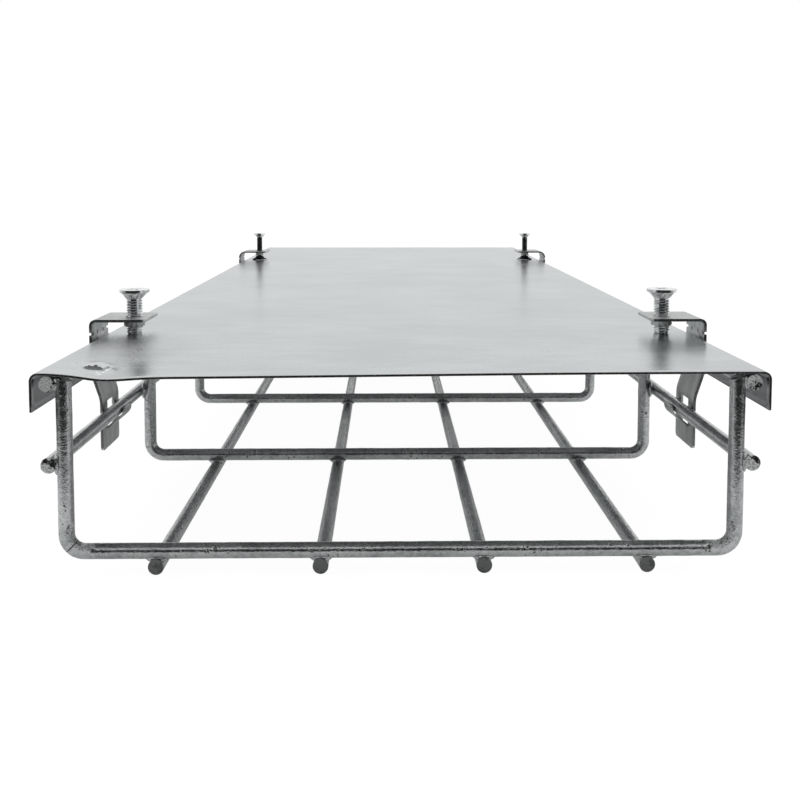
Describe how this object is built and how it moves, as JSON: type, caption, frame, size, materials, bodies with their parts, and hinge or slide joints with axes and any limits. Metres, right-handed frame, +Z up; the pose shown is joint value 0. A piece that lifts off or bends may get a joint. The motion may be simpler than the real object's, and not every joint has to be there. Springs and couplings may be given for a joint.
{
  "type": "wire mesh cable basket",
  "caption": "Welded wire mesh cable tray with U-shaped cross wires, a folded sheet cover and hook-on strap clamps whose screws press on the cover.",
  "frame": {"origin": "on the ground, at the middle of the tray's length and width", "axes": "+Y along the tray from its front end to its rear end, +Z up, +X to the right seen from the front end"},
  "size_m": [0.228, 0.55, 0.082],
  "materials": {
    "galvanised_wire": "mottled hot-dip galvanised round wire",
    "galvanised_sheet": "satin galvanised sheet with faint rolling streaks",
    "zinc_strap": "satin zinc-plated strip with dark sheared edges",
    "bright_zinc": "bright zinc-plated machine screw"
  },
  "bodies": {
    "tray": {"cross_wire_1": "galvanised_wire", "cross_wire_2": "galvanised_wire", "cross_wire_3": "galvanised_wire", "cross_wire_4": "galvanised_wire", "cross_wire_5": "galvanised_wire", "cross_wire_6": "galvanised_wire", "floor_wire_1": "galvanised_wire", "floor_wire_2": "galvanised_wire", "floor_wire_3": "galvanised_wire", "floor_wire_4": "galvanised_wire", "side_wire_left": "galvanised_wire", "side_wire_right": "galvanised_wire", "rim_wire_left": "galvanised_wire", "rim_wire_right": "galvanised_wire", "cover": "galvanised_sheet", "foot_washer_left": "zinc_strap", "foot_washer_right": "zinc_strap"},
    "front_left_clamp": {"clamp_front_left": "zinc_strap"},
    "front_left_screw": {"screw_front_left": "bright_zinc"},
    "front_right_clamp": {"clamp_front_right": "zinc_strap"},
    "front_right_screw": {"screw_front_right": "bright_zinc"},
    "rear_left_clamp": {"clamp_rear_left": "zinc_strap"},
    "rear_left_screw": {"screw_rear_left": "bright_zinc"},
    "rear_right_clamp": {"clamp_rear_right": "zinc_strap"},
    "rear_right_screw": {"screw_rear_right": "bright_zinc"}
  },
  "joints": [
    {"name": "front_left_clamp_swing", "type": "hinge", "parent": "tray", "child": "front_left_clamp", "pos_m": [-0.1067, -0.2025, 0.034], "axis": [0, -1, 0], "range_deg": [0, 70]},
    {"name": "front_left_screw_travel", "type": "slide", "parent": "front_left_clamp", "child": "front_left_screw", "axis": [0, 0, 1], "range_m": [0, 0.004]},
    {"name": "front_right_clamp_swing", "type": "hinge", "parent": "tray", "child": "front_right_clamp", "pos_m": [0.1067, -0.2025, 0.034], "axis": [0, 1, 0], "range_deg": [0, 70]},
    {"name": "front_right_screw_travel", "type": "slide", "parent": "front_right_clamp", "child": "front_right_screw", "axis": [0, 0, 1], "range_m": [0, 0.004]},
    {"name": "rear_left_clamp_swing", "type": "hinge", "parent": "tray", "child": "rear_left_clamp", "pos_m": [-0.1067, 0.1415, 0.034], "axis": [0, -1, 0], "range_deg": [0, 70]},
    {"name": "rear_left_screw_travel", "type": "slide", "parent": "rear_left_clamp", "child": "rear_left_screw", "axis": [0, 0, 1], "range_m": [0, 0.004]},
    {"name": "rear_right_clamp_swing", "type": "hinge", "parent": "tray", "child": "rear_right_clamp", "pos_m": [0.1067, 0.1415, 0.034], "axis": [0, 1, 0], "range_deg": [0, 70]},
    {"name": "rear_right_screw_travel", "type": "slide", "parent": "rear_right_clamp", "child": "rear_right_screw", "axis": [0, 0, 1], "range_m": [0, 0.004]}
  ]
}
